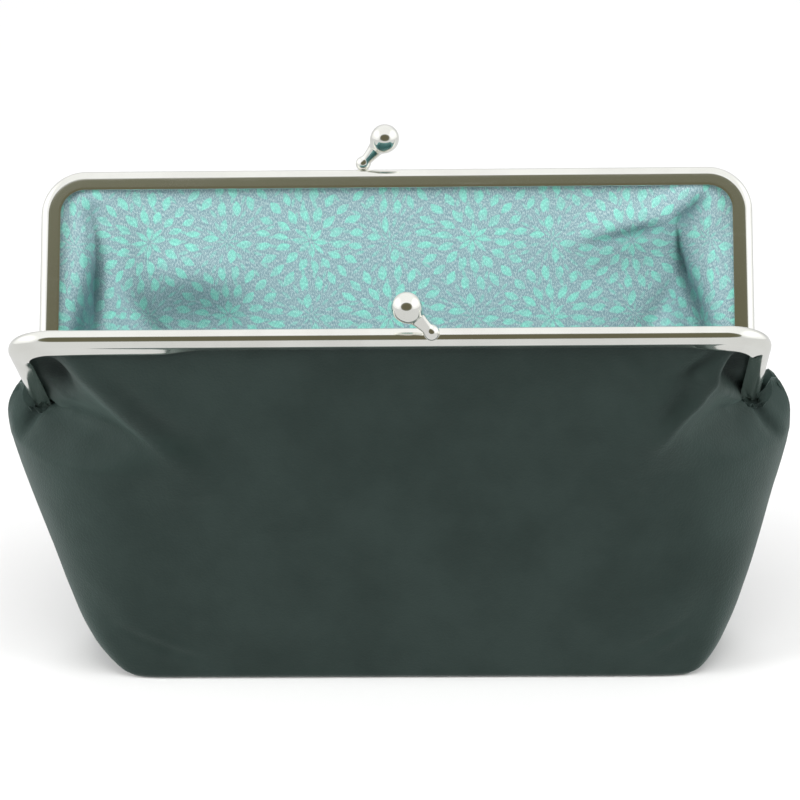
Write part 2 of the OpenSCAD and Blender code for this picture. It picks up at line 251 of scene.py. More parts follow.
# Colours, as red, green and blue from 0 to 1
NICKEL = (0.86, 0.865, 0.82)
NICKEL_RUBBED = (0.82, 0.82, 0.775)
LEATHER_DARK = (0.0128, 0.0222, 0.0194)
LEATHER_LIGHT = (0.0186, 0.0306, 0.0272)
# The near black that the leather's deepest creases are painted towards, as painted shade
LEATHER_PAINTED_SHADE = (0.0030, 0.0048, 0.0045)
LEATHER_SHEEN = (0.62, 0.85, 0.78)
GROUND_DARK = (0.170, 0.283, 0.315)
GROUND_LIGHT = (0.415, 0.530, 0.560)
PETAL_DARK = (0.180, 0.550, 0.460)
PETAL_LIGHT = (0.305, 0.745, 0.640)
# The dark that the lining's deepest creases are painted towards, as painted shade
CLOTH_PAINTED_SHADE = (0.022, 0.075, 0.085)
INNER_DARK = (0.70, 0.70, 0.68)
INNER_LIGHT = (0.82, 0.82, 0.80)
PAPER_DARK = (0.42, 0.31, 0.19)
PAPER_LIGHT = (0.58, 0.46, 0.30)
BOARD_DARK = (0.34, 0.29, 0.24)
BOARD_LIGHT = (0.48, 0.42, 0.35)

# The lining's print: rings of petals with 8 in the first and 6 more in each next one, in squares
# that stand on a corner, and smaller rings between them
PRINT_SPACING = 32.5 * MM
PRINT_RING = 5.2 * MM
PRINT_PETAL = 1.25 * MM
SMALL_RING = 3.6 * MM
SMALL_PETAL = 0.62 * MM
SMALL_SHIFT = 23 * MM
PRINT_DRIFT = 4.2 * MM
FIRST_PETALS = 8.0
MORE_PETALS = 6.0

# The camera, as fitted to the photograph
CAMERA_TARGET = Vector((1.24, 0, 72.52)) * MM
CAMERA_AWAY = 907.5 * MM
CAMERA_PITCH = math.radians(19.94)
CAMERA_YAW = math.radians(-1.96)
CAMERA_ROLL = math.radians(-1.02)
SENSOR_W = 36
LENS = 147.0

# The stage. The floor's glow grows with the distance from the bag, and the card stands a little
# behind the camera.
BAG_MIDDLE = Vector((0, 0, HINGE_Z))
WHITE = (1, 1, 1)
FLOOR_SIZE = 6
FLOOR_Z = -0.2 * MM
FLOOR_TONE = (0.77, 0.77, 0.77)
FLOOR_IN_METAL = 0.76
GLOW_NEAR = 0.02
GLOW_START = 0.35
GLOW_FULL = 0.9
TENT_SOFT = 0.34
CARD_AWAY = 1.08
CARD_RISE = math.radians(24)
CARD_X = 0.03
CARD_W = 1.70
CARD_H = 1.12
CARD_DARK = (0.145, 0.135, 0.084)
CARD_EDGE = (0.19, 0.19, 0.137)

# The lights: name, place, size and power
LIGHTS = (
    ("overhead_light", (0.1, -0.7, 1.15), 1.0, 12),
    ("left_light", (-1.25, -0.45, 0.45), 0.8, 26),
    ("right_light", (1.25, -0.45, 0.45), 0.8, 20),
    ("rear_light", (0, 1.3, 0.9), 1.0, 10),
)


# Small tools for meshes

def select_only(piece):
    """Makes piece the one selected, active object."""
    bpy.ops.object.select_all(action="DESELECT")
    piece.select_set(True)
    bpy.context.view_layer.objects.active = piece


def apply_all(piece):
    """Applies each modifier in turn."""
    select_only(piece)
    for modifier in list(piece.modifiers):
        bpy.ops.object.modifier_apply(modifier=modifier.name)


def smooth(piece, angle):
    """Smooth shading with edges sharper than angle kept."""
    select_only(piece)
    bpy.ops.object.shade_smooth_by_angle(angle=math.radians(angle))
    bpy.ops.object.select_all(action="DESELECT")


def spline(at, stations, values):
    """Smooth values at each place of at, through the values at the stations."""
    at, stations, values = (np.asarray(part, float) for part in (at, stations, values))
    shape = (-1,) + (1,) * (values.ndim - 1)
    step = np.diff(stations).reshape(shape)
    rise = np.diff(values, axis=0) / step
    between = (rise[:-1] * step[1:] + rise[1:] * step[:-1]) / (step[1:] + step[:-1])
    slope = np.concatenate([rise[:1], between, rise[-1:]])
    k = np.clip(np.searchsorted(stations, at, side="right") - 1, 0, len(stations) - 2)
    span = (stations[k + 1] - stations[k]).reshape(shape)
    t = (at - stations[k]).reshape(shape) / span
    a = 2 * t**3 - 3 * t**2 + 1
    b = t**3 - 2 * t**2 + t
    c = 3 * t**2 - 2 * t**3
    d = t**3 - t**2
    return a * values[k] + b * span * slope[k] + c * values[k + 1] + d * span * slope[k + 1]


def even(points):
    """The line through points, cut again into as many points at even distances."""
    length = np.linalg.norm(np.diff(points, axis=0, prepend=points[:1]), axis=1).cumsum()
    share = length / max(length[-1], 1e-9)
    wanted = np.linspace(0, 1, len(points))
    return np.stack([np.interp(wanted, share, points[:, i]) for i in range(3)], axis=1)


def from_table(table, z):
    """The smooth value of a table of millimetres at height z, in metres."""
    table = np.array(table) * MM
    return spline(np.atleast_1d(z), table[:, 0], table[:, 1])


def mix(a, b, t):
    """The value that lies the share t of the way from a to b."""
    return a + (b - a) * t


# The pouch's shape

def edge_in(z):
    """How far the rounded lower edge lies in at height z."""
    if z >= BASE_ROUND:
        return 0.0
    return BASE_ROUND - math.sqrt(BASE_ROUND**2 - (BASE_ROUND - z) ** 2)


def opened(s, n, face):
    """The place at distance s up a frame half and n outwards: its distance from the middle plane
    and its height."""
    sine, cosine = math.sin(LEAN[face]), math.cos(LEAN[face])
    return np.array([s * sine + n * cosine, HINGE_Z + s * cosine - n * sine])


def tuck_half(s, drop):
    """Half the width of the tucked edge at distance s up the legs."""
    r = CORNER_R - drop
    up = min(max(s - (FRAME_H - CORNER_R), 0), r)
    return HALF_W - CORNER_R + math.sqrt(max(r * r - up * up, 0))


def body_line(z, inset, face, depth_share=1.0):
    """Half of a level line round the pouch below the hinges, from its middle to the side seam."""
    t = min(z / HINGE_Z, 1) ** 0.6
    across = mix(0.05, 1 / 3, t)
    outwards = mix(0.16, 2, t)
    a = np.linspace(math.pi / 2, 0, FINE)
    x = (from_table(SIDE_LINE, z)[0] - inset) * np.abs(np.cos(a)) ** across
    depth = mix(BASE_HALF[face], BELLY[face], z / HINGE_Z) - inset - edge_in(z)
    depth = depth * np.abs(np.sin(a)) ** outwards
    return even(np.stack([x, depth * depth_share, np.full(FINE, z)], axis=1))


def top_line(s, n, inset, face, ridge):
    """Half of a line from the bag's middle to a leg of the frame half, at distance s up the leg."""
    s_end = FRAME_H - MOUTH_DROP
    v = (s - TUCK_START) / (s_end - TUCK_START)
    leg = opened(s, n, face)
    low = np.array([BELLY[face] - inset, HINGE_Z])
    middle = mix(low, opened(s_end, n, face), mix(0.11, 1, min(v, 1)))
    u = np.linspace(0, 1, FINE)
    mouth = (HALF_W - MOUTH_DROP) / TUCK_X
    t = np.clip((mouth - u) / (mouth - ridge), 0, None)
    sharp = CORNER_SHARPNESS
    f = t - np.log1p(np.exp(np.clip(sharp * (t - 1), None, 50))) / sharp
    f = np.clip(f + math.log1p(math.exp(-sharp)) / sharp, 0, 1)
    f = np.where(t <= 0, 0, f) * (v < 1)
    x = tuck_half(s, HALF_W - TUCK_X) * u
    return even(np.stack([x, mix(leg[0], middle[0], f), mix(leg[1], middle[1], f)], axis=1))


def round_hinge(face, share, radius, x):
    """A point of the free edge: share of the way from straight up to under the leg."""
    angle = (LEAN[face] + math.radians(UNDER_LEG)) * share
    return np.array([x, radius * math.sin(angle), HINGE_Z / MM + radius * math.cos(angle)])


def free_edge(face):
    """The sheet's free edge from the seam to the leg: the share of the leg's line at each point, the
    point in millimetres, and how far it drops for the inset of an inner layer."""
    last = 1 - math.radians(10) / (LEAN[face] + math.radians(UNDER_LEG))
    return [
        (0.12, np.array([108.7, 0, 70.6]), 1.2),
        (0.25, np.array([107.5, 0, 74.6]), 2.4),
        (0.38, np.array([105.2, 0, 78.4]), 3.4),
        (0.50, round_hinge(face, 0.4, 6.2, 103.8), 2.5),
        (0.62, round_hinge(face, 0.8, 6.6, 102.8), 1.5),
        (0.75, round_hinge(face, 1.0, 9.2, 100.2), 0.8),
        (0.88, round_hinge(face, last, 10.2, 98.5), 0.0),
    ]


def half_sheet(face, side, n, inset):
    """Level lines of one half of a sheet, from the base's middle to the frame."""
    ridges = np.array(RIDGES[face][side])
    lines = [body_line(0, inset, face, share) for share in BASE_SHARES]
    lines += [body_line(z * MM, inset, face) for z in BODY_HEIGHTS]
    body = lines[-1]
    first = top_line(TUCK_START, n, inset, face, ridges[0, 1])
    share = np.linspace(0, 1, FINE)
    pull = np.clip((share - 0.84) / 0.16, 0, 1)[:, None] ** 2
    for blend, place, drop in free_edge(face):
        line = mix(body, first, blend)
        target = place * MM - np.array([3.4, 0, drop]) * inset
        lines.append(line + (target - line[-1]) * pull)
    for s in LEG_DISTANCES:
        lines.append(top_line(s * MM, n, inset, face, np.interp(s, ridges[:, 0], ridges[:, 1])))
    return np.array(lines)


def level_out(grid, spread):
    """Evens out the sheet's rise across the hinge line, away from its sides, base and rim."""
    rows = np.arange(grid.shape[0])
    height = grid[:, grid.shape[1] // 2, 2]
    near = np.exp(-(((height - 78 * MM) / (16 * MM)) ** 2))
    share = np.abs(np.linspace(-1, 1, grid.shape[1]))
    inner = 1 - np.clip((share - 0.80) / 0.14, 0, 1)
    amount = near[:, None, None] * inner[None, :, None]
    kernel = np.exp(-(((rows[:, None] - rows[None, :]) / spread) ** 2))
    kernel /= kernel.sum(axis=1, keepdims=True)
    return grid + (np.einsum("ij,jkl->ikl", kernel, grid) - grid) * amount


def sheet_grid(face, n, inset, z_low, rows_per_mm=SHEET_ROWS, columns=SHEET_COLUMNS):
    """All points of a sheet, as rows from the base's middle up and columns from left to right."""
    even_steps = np.linspace(0, 1, columns)
    picks = np.round((1.4 * even_steps - 0.4 * even_steps**2) * (FINE - 1)).astype(int)
    left = half_sheet(face, -1, n, inset)[:, picks][:, ::-1].copy()
    left[:, :, 0] *= -1
    right = half_sheet(face, 1, n, inset)[:, picks]
    grid = np.concatenate([left, right[:, 1:]], axis=1)
    grid[:, :, 1] = grid[:, :, 1] * face
    grid[:, :, 2] = np.maximum(grid[:, :, 2], 0)
    steps = np.linalg.norm(np.diff(grid, axis=0), axis=2)
    way = (steps[:, grid.shape[1] // 2] + steps[:, grid.shape[1] // 8]) / 2
    way = np.concatenate([[0], np.cumsum(np.maximum(way, 0.4 * MM))])
    count = int(way[-1] / MM * rows_per_mm)
    dense = level_out(spline(np.linspace(0, way[-1], count), way, grid), 5.8 * rows_per_mm)
    heights = np.clip(dense[:, :, 2].ravel(), 0, HINGE_Z)
    dense[:, :, 0] += from_table(BASE_SHIFT, heights).reshape(dense.shape[:2])
    dense[:, :, 2] += z_low * np.clip(1 - dense[:, :, 2] / (8 * MM), 0, 1)
    return dense


def normals_of(grid):
    """Unit normals of a grid of points, pointing away from the bag's middle."""
    along = np.gradient(grid, axis=1)
    up = np.gradient(grid, axis=0)
    normal = np.cross(along, up)
    normal /= np.maximum(np.linalg.norm(normal, axis=2, keepdims=True), 1e-12)
    return normal


def near_line(grid, line, width):
    """How near each point lies to a smooth line through places: 1 on the line, falling off over
    width and towards the line's ends."""
    line = np.array(line, float) * MM
    stops = np.linspace(0, 1, 40)
    line = spline(stops, np.linspace(0, 1, len(line)), line)
    gap = np.linalg.norm(grid[:, :, None, [0, 2]] - line, axis=3)
    taper = np.sin(np.pi * np.clip(stops * 0.92 + 0.04, 0, 1)) ** 0.7
    return np.exp(-((gap.min(axis=2) / (width * MM)) ** 2)) * taper[gap.argmin(axis=2)]


def painted_shade_tone(grid, shade_lines):
    """How much painted shade the crease lines give each point of a sheet, from 0 to 1."""
    light = np.ones(grid.shape[:2])
    for line, width, depth in shade_lines:
        light *= 1 - depth * near_line(grid, line, width)
    return 1 - light


def press_folds(grid, folds, face):
    """Raises ridges and presses creases along lines over a sheet."""
    normal = normals_of(grid) * -face
    facing = np.clip((normal[:, :, 1] * face + 0.15) / 0.3, 0, 1)
    move = np.zeros(grid.shape[:2])
    for line, width, height in folds:
        move += height * MM * near_line(grid, line, width)
    return grid + normal * (move * facing)[:, :, None]


def flat_map(grid):
    """Flat coordinates in metres: the way across from the middle and the way up."""
    across = np.linalg.norm(np.diff(grid, axis=1, prepend=grid[:, :1]), axis=2).cumsum(axis=1)
    across -= across[:, [grid.shape[1] // 2]]
    up = np.linalg.norm(np.diff(grid, axis=0, prepend=grid[:1]), axis=2).cumsum(axis=0)
    mean_up = np.broadcast_to(up.mean(axis=1, keepdims=True), up.shape)
    return np.stack([across, mean_up], axis=2)


def sheet_piece(name, grid, thickness, face, lowest=0.0, shade_lines=()):
    """A closed sheet of the given thickness inwards from the grid."""
    rows, columns = grid.shape[:2]
    faces = []
    for i in range(rows - 1):
        for j in range(columns - 1):
            a = i * columns + j
            quad = (a, a + 1, a + columns + 1, a + columns)
            faces.append(quad if face == FRONT else quad[::-1])
    mesh = bpy.data.meshes.new(name)
    mesh.from_pydata(grid.reshape(-1, 3).tolist(), [], faces)
    mesh.update()
    corners = np.empty(len(mesh.loops), dtype=np.int32)
    mesh.loops.foreach_get("vertex_index", corners)
    flat = flat_map(grid).reshape(-1, 2).astype(np.float32)
    mesh.uv_layers.new(name="UVMap").data.foreach_set("uv", flat[corners].ravel())
    # A mask of painted shade along the given crease lines, which the material darkens the colour with
    tone = mesh.attributes.new("painted_shade", "FLOAT", "POINT")
    tone.data.foreach_set("value", painted_shade_tone(grid, shade_lines).ravel())
    piece = bpy.data.objects.new(name, mesh)
    bpy.context.scene.collection.objects.link(piece)
    wall = piece.modifiers.new("thickness", "SOLIDIFY")
    wall.thickness = thickness
    wall.offset = -1
    wall.use_rim = True
    wall.use_even_offset = False
    apply_all(piece)
    for vertex in piece.data.vertices:
        vertex.co.z = max(vertex.co.z, lowest)
    smooth(piece, 40)
    return piece


def stiff_board(name):
    """The board that lies between the leather and the lining of the base."""
    bpy.ops.mesh.primitive_cube_add(size=1, location=(BASE_SHIFT[0][1] * MM, 0, BOARD_LOW + BOARD_T / 2))
    piece = bpy.context.object
    piece.name = name
    piece.scale = (BOARD_W, BOARD_D, BOARD_T)
    bpy.ops.object.transform_apply()
    edge = piece.modifiers.new("worn_edges", "BEVEL")
    edge.width = BOARD_EDGE
    edge.segments = 2
    apply_all(piece)
    smooth(piece, 35)
    return piece


# The frame

def start_circle(name, mode, **settings):
    """A circle that a piece is drawn from, in edit mode; mode names what is picked: VERT or FACE."""
    bpy.ops.object.select_all(action="DESELECT")
    bpy.ops.mesh.primitive_circle_add(**settings)
    piece = bpy.context.object
    piece.name = name
    bpy.ops.object.transform_apply()
    bpy.ops.object.mode_set(mode="EDIT")
    bpy.ops.mesh.select_mode(type=mode)
    return piece


def select_where(piece, test):
    """Selects the vertices of piece, in edit mode, for which test says yes."""
    bpy.ops.mesh.select_all(action="DESELECT")
    mesh = bmesh.from_edit_mesh(piece.data)
    chosen = [vertex for vertex in mesh.verts if test(vertex.co)]
    for vertex in chosen:
        vertex.select_set(True)
    mesh.select_flush_mode()
    bmesh.update_edit_mesh(piece.data)


def extrude_steps(way, steps):
    """Extrudes the selected edges along way in even steps."""
    part = tuple(Vector(way) / steps)
    for _ in range(steps):
        bpy.ops.mesh.extrude_edges_move(TRANSFORM_OT_translate={"value": part})


def bend_corner(x):
    """Turns the selected section a quarter round the corner at x."""
    bpy.ops.mesh.spin(
        steps=CORNER_STEPS, angle=math.radians(90), center=(x, 0, FRAME_H - CORNER_R), axis=(0, 1, 0)
    )


def channel(name):
    """The wall of a frame half, upright on the hinge line, bent from a channel of sheet metal."""
    x = HALF_W - RIM_R
    section = {"radius": RIM_R - METAL_T / 2, "location": (x, -MID_N, LEG_END)}
    piece = start_circle(name, "VERT", vertices=SECTION_POINTS, **section)
    select_where(piece, lambda v: v.x < x - TINY)
    bpy.ops.mesh.delete(type="VERT")
    select_where(piece, lambda v: v.x < x + TINY)
    lip = (RIM_R - CHANNEL_FACE) / LIP_STEPS
    for _ in range(LIP_STEPS):
        bpy.ops.mesh.extrude_vertices_move(TRANSFORM_OT_translate={"value": (lip, 0, 0)})
    bpy.ops.mesh.select_mode(type="EDGE")
    bpy.ops.mesh.select_all(action="SELECT")
    leg = FRAME_H - CORNER_R - LEG_END
    extrude_steps((0, 0, leg), LEG_STEPS)
    bend_corner(HALF_W - CORNER_R)
    extrude_steps((2 * CORNER_R - FRAME_W, 0, 0), BAR_STEPS)
    bend_corner(CORNER_R - HALF_W)
    extrude_steps((0, 0, -leg), LEG_STEPS)
    bpy.ops.mesh.select_all(action="SELECT")
    bpy.ops.mesh.remove_doubles(threshold=TINY)
    bpy.ops.mesh.normals_make_consistent(inside=False)
    bpy.ops.object.mode_set(mode="OBJECT")
    return piece


def ear(x):
    """The wall of one ear: a disc round the rivet that widens into the channel."""
    disc = {"radius": EAR_R, "fill_type": "NGON", "location": (x, 0, 0), "rotation": (0, math.pi / 2, 0)}
    piece = start_circle("ear", "VERT", vertices=TURNED_POINTS, **disc)
    select_where(piece, lambda v: v.z > -TINY)
    bpy.ops.mesh.select_mode(type="EDGE")
    bpy.ops.mesh.extrude_edges_move(TRANSFORM_OT_translate={"value": (0, 0, 0)})
    width = (RIM_R - METAL_T) / EAR_R
    bpy.ops.transform.resize(value=(1, width, 0), center_override=(0, 0, 0))
    bpy.ops.transform.translate(value=(0, -MID_N, LEG_END))
    bpy.ops.mesh.extrude_edges_move(TRANSFORM_OT_translate={"value": (0, 0, EAR_TOP - LEG_END)})
    bpy.ops.object.mode_set(mode="OBJECT")
    return piece


def lip_turn(x):
    """How far the outer lip of the bar is turned out near the corners, and pressed in between them."""
    near = np.clip((np.abs(x - LIP_MIDDLE_X) - LIP_CHANGE) / LIP_CHANGE_W, 0, 1)
    near = near * near * (3 - 2 * near)
    return np.tan(np.radians(mix(LIP_PRESSED, LIP_OPEN, near)))


def shape_lips(piece):
    """Presses the outer lip of the bar in, except near the corners."""
    mesh = piece.data
    places = np.array([v.co[:] for v in mesh.vertices])
    x, n, s = places[:, 0], -places[:, 1], places[:, 2]
    out_x = np.clip(np.abs(x) - (HALF_W - CORNER_R), 0, None)
    out_s = np.clip(s - (FRAME_H - CORNER_R), 0, None)
    depth = CORNER_R - np.hypot(out_x, out_s) - RIM_R
    on_bar = np.clip((s - (FRAME_H - 1.6 * CORNER_R)) / (0.6 * CORNER_R), 0, 1)
    move = lip_turn(x) * np.clip(depth, 0, CHANNEL_FACE) * on_bar * (n > MID_N + 1 * MM)
    move = np.where(s < FRAME_H - CORNER_R, 0, move)
    for vertex, step in zip(mesh.vertices, move):
        vertex.co.y -= step


def stand_open(piece, face):
    """Turns an upright frame half, or a piece on it, about the hinge line to its rest place."""
    piece.data.transform(Matrix.Rotation(LEAN[face], 4, "X"))
    if face == REAR:
        piece.data.transform(Matrix.Rotation(math.pi, 4, "Z"))
    piece.data.transform(Matrix.Translation((0, 0, HINGE_Z)))


def frame_half(name, face):
    """A frame half of sheet metal with its two ears, open."""
    ear_x = HALF_W - METAL_T / 2 if face == REAR else INNER_EAR_X + METAL_T / 2
    piece = channel(name)
    parts = [piece, ear(-ear_x), ear(ear_x)]
    shape_lips(piece)
    for part in parts:
        wall = part.modifiers.new("metal", "SOLIDIFY")
        wall.thickness = METAL_T
        wall.offset = 0
        wall.use_even_offset = False
        apply_all(part)
    for part in parts:
        part.select_set(True)
    bpy.context.view_layer.objects.active = piece
    bpy.ops.object.join()
    edge = piece.modifiers.new("broken_edges", "BEVEL")
    edge.width = BROKEN_EDGE
    edge.segments = 2
    edge.limit_method = "ANGLE"
    edge.angle_limit = math.radians(50)
    apply_all(piece)
    stand_open(piece, face)
    smooth(piece, 35)
    return piece


def turned(name, start, end, stations, points=TURNED_POINTS):
    """A piece turned on a lathe from start to end; each station is a distance along it and a radius."""
    start = Vector(start)
    along = Vector(end) - start
    piece = start_circle(name, "FACE", vertices=points, radius=stations[0][1], fill_type="NGON")
    bpy.ops.mesh.select_all(action="SELECT")
    bpy.ops.transform.translate(value=(0, 0, stations[0][0]))
    for before, after in zip(stations, stations[1:]):
        rise = after[0] - before[0]
        grow = after[1] / before[1]
        bpy.ops.mesh.extrude_region_move(TRANSFORM_OT_translate={"value": (0, 0, rise)})
        bpy.ops.transform.resize(value=(grow, grow, 1), center_override=(0, 0, after[0]))
    bpy.ops.mesh.select_all(action="SELECT")
    bpy.ops.mesh.normals_make_consistent(inside=False)
    bpy.ops.object.mode_set(mode="OBJECT")
    piece.data.transform(along.to_track_quat("Z", "Y").to_matrix().to_4x4())
    piece.data.transform(Matrix.Translation(start))
    smooth(piece, 50)
    return piece


def lock_stations(reach):
    """The outline of a lock ball, its neck and its foot, along the neck's axis from the foot."""
    x = mix(-FOOT_R, reach + BALL_R, (1 - np.cos(math.pi * np.arange(1, LOCK_STEPS) / LOCK_STEPS)) / 2)
    foot = np.sqrt(np.clip(FOOT_R**2 - x**2, 0, None))
    ball = np.sqrt(np.clip(BALL_R**2 - (x - reach) ** 2, 0, None))
    inside = np.clip(x / FOOT_R, 0, 1) * np.clip((reach - x) / BALL_R * 2, 0, 1)
    along = np.clip(x / (reach - 0.7 * BALL_R), 0, 1)
    radii = np.array([foot, ball, mix(NECK_R, NECK_WIDE, along**1.6) * inside])
    most = radii.max(axis=0)
    soft = np.log(np.exp((radii - most) / FILLET).sum(axis=0))
    return list(zip(x.tolist(), (most + FILLET * soft * inside).tolist()))


def lock_ball(name, face):
    """A lock ball on its neck and foot, upright on the bar, then opened with it."""
    shift = -face * LOCK_SHIFT
    foot = Vector((FOOT_X + shift, -MID_N, FOOT_S))
    ball = Vector((BALL_X + shift, -BALL_N, BALL_S))
    piece = turned(name, foot, ball, lock_stations((ball - foot).length), BALL_POINTS)
    stand_open(piece, face)
    return piece


def hinge_rivet(name, side):
    """A rivet with a domed head outside and a flat tail inside the ears."""
    outside = HALF_W + RIVET_PROUD
    inside = INNER_EAR_X - RIVET_PROUD
    head = outside - inside - RIVET_HEAD_T
    stations = [
        (0.0, RIVET_HEAD_R - RIVET_EDGE),
        (RIVET_EDGE, RIVET_HEAD_R),
        (RIVET_HEAD_T - RIVET_STEP, RIVET_HEAD_R),
        (RIVET_HEAD_T, RIVET_R),
        (head - RIVET_STEP, RIVET_R),
        (head, RIVET_HEAD_R),
    ]
    for i in range(1, DOME_STEPS):
        angle = math.pi / 2 * i / DOME_STEPS
        stations.append((head + RIVET_HEAD_T * math.sin(angle), RIVET_HEAD_R * math.cos(angle)))
    return turned(name, (side * inside, 0, HINGE_Z), (side * outside, 0, HINGE_Z), stations)


# Small tools for shaders

def add_node(tree, kind, inputs=(), **settings):
    """A new shader node with its settings; inputs gives a value or a socket to link for each input."""
    node = tree.nodes.new("ShaderNode" + kind)
    for name, value in settings.items():
        setattr(node, name, value)
    for name, value in dict(inputs).items():
        feed(tree, value, node.inputs[name])
    return node


def feed(tree, value, socket):
    """Links the socket to value where that is a socket, and sets it to value otherwise."""
    if isinstance(value, bpy.types.NodeSocket):
        tree.links.new(value, socket)
    elif isinstance(value, tuple) and socket.type == "RGBA":
        socket.default_value = (*value, 1)
    else:
        socket.default_value = value


def empty_tree(owner, output="OutputMaterial"):
    """The emptied node tree of a material or a world, and the socket that shows its surface."""
    owner.use_nodes = True
    tree = owner.node_tree
    tree.nodes.clear()
    return tree, add_node(tree, output).inputs["Surface"]


def math_node(tree, operation, *operands):
    """A Math node's result; each operand is a socket or a number."""
    return add_node(tree, "Math", enumerate(operands), operation=operation).outputs[0]


def length_of(tree, x, y):
    """The length of the way x, y."""
    squares = [math_node(tree, "MULTIPLY", part, part) for part in (x, y)]
    return math_node(tree, "SQRT", math_node(tree, "ADD", *squares))


def noise(tree, vector, scale, detail=2.0, roughness=0.5):
    """A Noise Texture's value at vector."""
    inputs = {"Vector": vector, "Scale": scale, "Detail": detail, "Roughness": roughness}
    return add_node(tree, "TexNoise", inputs).outputs[0]


def ramp(tree, value, low, high, from_value=0.0, to_value=1.0):
    """Value from low to high, stretched smoothly to from_value and to_value."""
    inputs = {"Value": value, "From Min": low, "From Max": high, "To Min": from_value, "To Max": to_value}
    return add_node(tree, "MapRange", inputs, interpolation_type="SMOOTHSTEP").outputs["Result"]


def mix_colours(tree, share, first, second):
    """A mix of two colours; each is a socket or three numbers."""
    return add_node(tree, "Mix", {0: share, 6: first, 7: second}, data_type="RGBA").outputs[2]


def mix_shaders(tree, share, first, second, surface):
    """Shows the first shader on the surface where share is 0, and the second where it is 1."""
    both = add_node(tree, "MixShader", {0: share, 1: first.outputs[0], 2: second.outputs[0]})
    tree.links.new(both.outputs[0], surface)


def bump(tree, height, depth, strength=1.0):
    """A Bump node's normal for a height."""
    inputs = {"Height": height, "Distance": depth, "Strength": strength}
    return add_node(tree, "Bump", inputs).outputs["Normal"]


def split_up(tree, vector):
    """The three numbers of a vector."""
    return add_node(tree, "SeparateXYZ", {0: vector}).outputs


def object_place(tree):
    """The object coordinates."""
    return add_node(tree, "TexCoord").outputs["Object"]


def painted_shade_share(tree, most):
    """How much painted shade a point in a crease gets, up to most."""
    tone = add_node(tree, "Attribute", attribute_name="painted_shade")
    return math_node(tree, "MULTIPLY", tone.outputs["Fac"], most)


def new_group(name, sizes, outputs):
    """A node group that takes a vector and named sizes and gives named numbers, with its sockets."""
    group = bpy.data.node_groups.new(name, "ShaderNodeTree")
    group.interface.new_socket("Vector", in_out="INPUT", socket_type="NodeSocketVector")
    for label, value in sizes.items():
        socket = group.interface.new_socket(label, in_out="INPUT", socket_type="NodeSocketFloat")
        socket.default_value = value
    for label in outputs:
        group.interface.new_socket(label, in_out="OUTPUT", socket_type="NodeSocketFloat")
    return group, group.nodes.new("NodeGroupInput").outputs, group.nodes.new("NodeGroupOutput").inputs


def use_group(tree, name, inputs):
    """The outputs of the node group of that name, used in a material."""
    return add_node(tree, "Group", inputs, node_tree=bpy.data.node_groups[name]).outputs


def new_material(name, look):
    """A material with one Principled shader; look gives that shader's inputs for a node tree."""
    material = bpy.data.materials.new(name)
    tree, surface = empty_tree(material)
    shader = add_node(tree, "BsdfPrincipled", look(tree))
    tree.links.new(shader.outputs["BSDF"], surface)
    return material


# The materials

def grain_group():
    """Leather grain: small pebbles and the fine lines between them, with a slow change of tone."""
    group, given, result = new_group("leather_grain", {"Size": 0.8 * MM}, ("Height", "Tone"))
    place = given["Vector"]
    cells = {"Vector": place, "Scale": math_node(group, "DIVIDE", 1.0, given["Size"]), "Smoothness": 0.35}
    cells = add_node(group, "TexVoronoi", cells, feature="SMOOTH_F1").outputs["Distance"]
    pebble = ramp(group, cells, 0.15, 0.75, 1.0, 0.0)
    rough = noise(group, place, 900, 3, 0.6)
    feed(group, math_node(group, "MULTIPLY_ADD", rough, 0.5, pebble), result["Height"])
    feed(group, noise(group, place, 38, 4, 0.6), result["Tone"])


def leather_look(tree):
    """Smooth satin leather, dark green grey, with fine grain and faint mottling, and painted shade in its
    deepest creases.
    """
    pebbles = use_group(tree, "leather_grain", {"Vector": object_place(tree), "Size": 0.7 * MM})
    tone = ramp(tree, pebbles["Tone"], 0.3, 0.7)
    colour = mix_colours(tree, tone, LEATHER_DARK, LEATHER_LIGHT)
    gloss = math_node(tree, "MULTIPLY_ADD", tone, -0.05, 0.5)
    return {
        # Painted shade: the colour darkens along the crease lines, which are also made rougher
        "Base Color": mix_colours(tree, painted_shade_share(tree, 0.8), colour, LEATHER_PAINTED_SHADE),
        "Roughness": math_node(tree, "ADD", gloss, painted_shade_share(tree, 0.4)),
        "Specular IOR Level": 0.16,
        "Sheen Weight": 0.10,
        "Sheen Roughness": 0.45,
        "Sheen Tint": LEATHER_SHEEN,
        "Normal": bump(tree, pebbles["Height"], 0.06 * MM, 0.6),
    }


